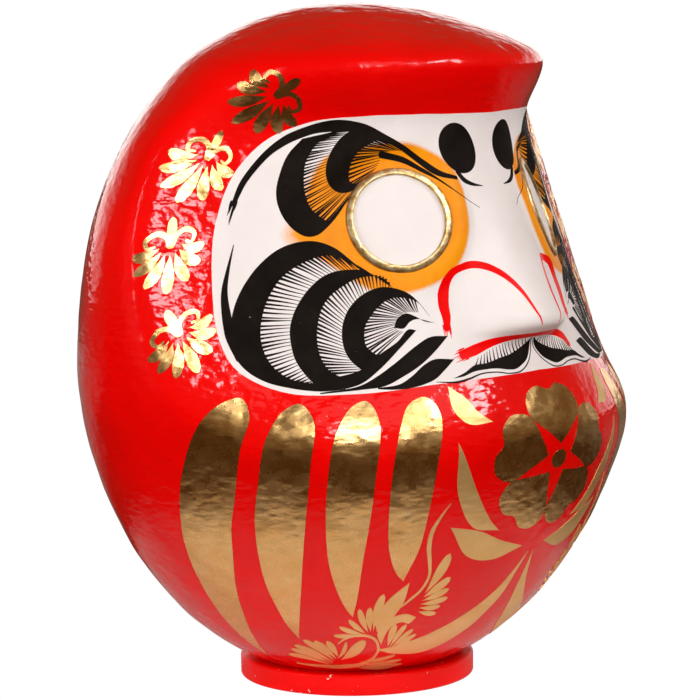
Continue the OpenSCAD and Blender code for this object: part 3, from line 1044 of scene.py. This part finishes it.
def make_floor(radius=60):
    """A floor out to the horizon, pale near and behind the doll and dark elsewhere: the pale disc round the
    doll is a painted pool of light and the dark further out is painted shade.
    """
    bpy.ops.mesh.primitive_circle_add(vertices=96, radius=radius, fill_type="NGON")
    floor = bpy.context.object
    floor.name = "floor"
    material, tree = new_material("floor")[:2]
    tree.nodes.clear()
    floor.data.materials.append(material)
    where = tree.nodes.new("ShaderNodeTexCoord")
    length = tree.nodes.new("ShaderNodeVectorMath")
    length.operation = "LENGTH"
    tree.links.new(where.outputs["Object"], length.inputs[0])
    # Painted light: the floor's colour is pale in a disc round the doll, a painted pool of light, and dark
    # brown further out, painted shade.
    near = ramp(tree, length.outputs["Value"], [(0.33, 1.0), (0.43, 0.0)])
    back = ramp(tree, behind_doll(tree, where.outputs["Object"]), [(0.30, 0.0), (0.8, 0.45)])
    pale = ramp(tree, math_node(tree, "MAXIMUM", near, back),
                [(0.0, (0.075, 0.038, 0.015)), (1.0, (0.85, 0.85, 0.85))])
    sheet = tree.nodes.new("ShaderNodeBsdfDiffuse")
    tree.links.new(pale, sheet.inputs["Color"])
    white_when_seen(tree, sheet.outputs["BSDF"], "ShaderNodeEmission", "ShaderNodeOutputMaterial")


def make_room(backdrop_light=1.6, room_light=0.13):
    """The world: a pale backdrop low behind the doll, and a dim warm room all round."""
    world = bpy.data.worlds.new("studio")
    bpy.context.scene.world = world
    world.use_nodes = True
    tree = world.node_tree
    tree.nodes.clear()
    where = tree.nodes.new("ShaderNodeTexCoord")
    parts = tree.nodes.new("ShaderNodeSeparateXYZ")
    tree.links.new(where.outputs["Generated"], parts.inputs["Vector"])
    behind = ramp(tree, behind_doll(tree, where.outputs["Generated"]), [(0.45, 0.0), (0.95, 1.0)])
    low = ramp(tree, parts.outputs["Z"], [(0.12, 1.0), (0.36, 0.08)])
    backdrop = math_node(tree, "MULTIPLY", math_node(tree, "MULTIPLY", behind, low), backdrop_light)
    warm = ramp(tree, backdrop, [(0.1, (1.0, 0.56, 0.25)), (0.5, (1.0, 0.92, 0.88))])
    room = tree.nodes.new("ShaderNodeBackground")
    tree.links.new(math_node(tree, "MAXIMUM", backdrop, room_light), room.inputs["Strength"])
    tree.links.new(warm, room.inputs["Color"])
    white_when_seen(tree, room.outputs["Background"], "ShaderNodeBackground", "ShaderNodeOutputWorld")


def softbox(name, azimuth, elevation, distance, width, height, power, only=None):
    """An area light that faces the doll, in degrees, metres and watts; azimuth 0 is before the face.

    A light with only="gloss" shows in reflections alone, and one with only="spread" never does.
    """
    a, e = math.radians(azimuth), math.radians(elevation)
    way = Vector((math.sin(a) * math.cos(e), -math.cos(a) * math.cos(e), math.sin(e)))
    light = bpy.data.lights.new(name, "AREA")
    light.shape = "RECTANGLE"
    light.size, light.size_y = width, height
    light.energy = power
    lamp = bpy.data.objects.new(name, light)
    lamp.location = way * distance + Vector((0, 0, 0.3))
    lamp.rotation_mode = "QUATERNION"
    lamp.rotation_quaternion = (-way).to_track_quat("-Z", "Y")
    lamp.visible_camera = False
    lamp.visible_glossy = only != "spread"
    lamp.visible_diffuse = only != "gloss"
    bpy.context.scene.collection.objects.link(lamp)


def make_lights():
    """Two keys, three fills and two lights for reflections alone."""
    softbox("key_right", 17, 39, 2.2, 0.6, 0.34, 15)
    softbox("key_left", -26, 30, 2.2, 0.26, 0.42, 6.5)
    softbox("key_wide", -6, 42, 2.2, 1.7, 0.8, 4.5, only="gloss")
    softbox("strip", -74, 31, 2.3, 0.04, 0.8, 2.5, only="gloss")
    softbox("fill_left", -95, 15, 2.6, 1.6, 1.6, 45, only="spread")
    softbox("fill_front", -20, -4, 3.2, 1.6, 1.6, 58, only="spread")
    softbox("fill_back", 150, 15, 2.8, 1.6, 1.6, 10, only="spread")


# ---- build ----

make_camera()
make_floor()
make_room()
make_lights()

make_skin(red_lacquer())
make_ground(face_ground())
make_face_ink(ink("ink_black", (0.006, 0.004, 0.003), (0.013, 0.009, 0.007), 0.6),
              ink("line_red", (0.86, 0.001, 0.001), (0.95, 0.004, 0.003), 0.32))
make_gold(gold_leaf("gold_leaf", 0.26, 1.0), gold_leaf("thin_gold", 0.4, 0.7))
rim_paint = rim_gold()
for name, side in SIDES.items():
    make_rim(name, side, rim_paint)
dress("foot_ring", foot_lacquer())
dress("seam_strip", dry_matter("kraft_paper", (0.36, 0.25, 0.13), (0.55, 0.42, 0.25), 90, 0.85))
board = dry_matter("grey_board", (0.30, 0.26, 0.20), (0.46, 0.41, 0.33), 130, 0.8)
dress("neck_hoop", board)
dress("base_board", board)
dress("clay_weight", dry_matter("dried_clay", (0.20, 0.13, 0.08), (0.38, 0.27, 0.18), 60, 0.9))
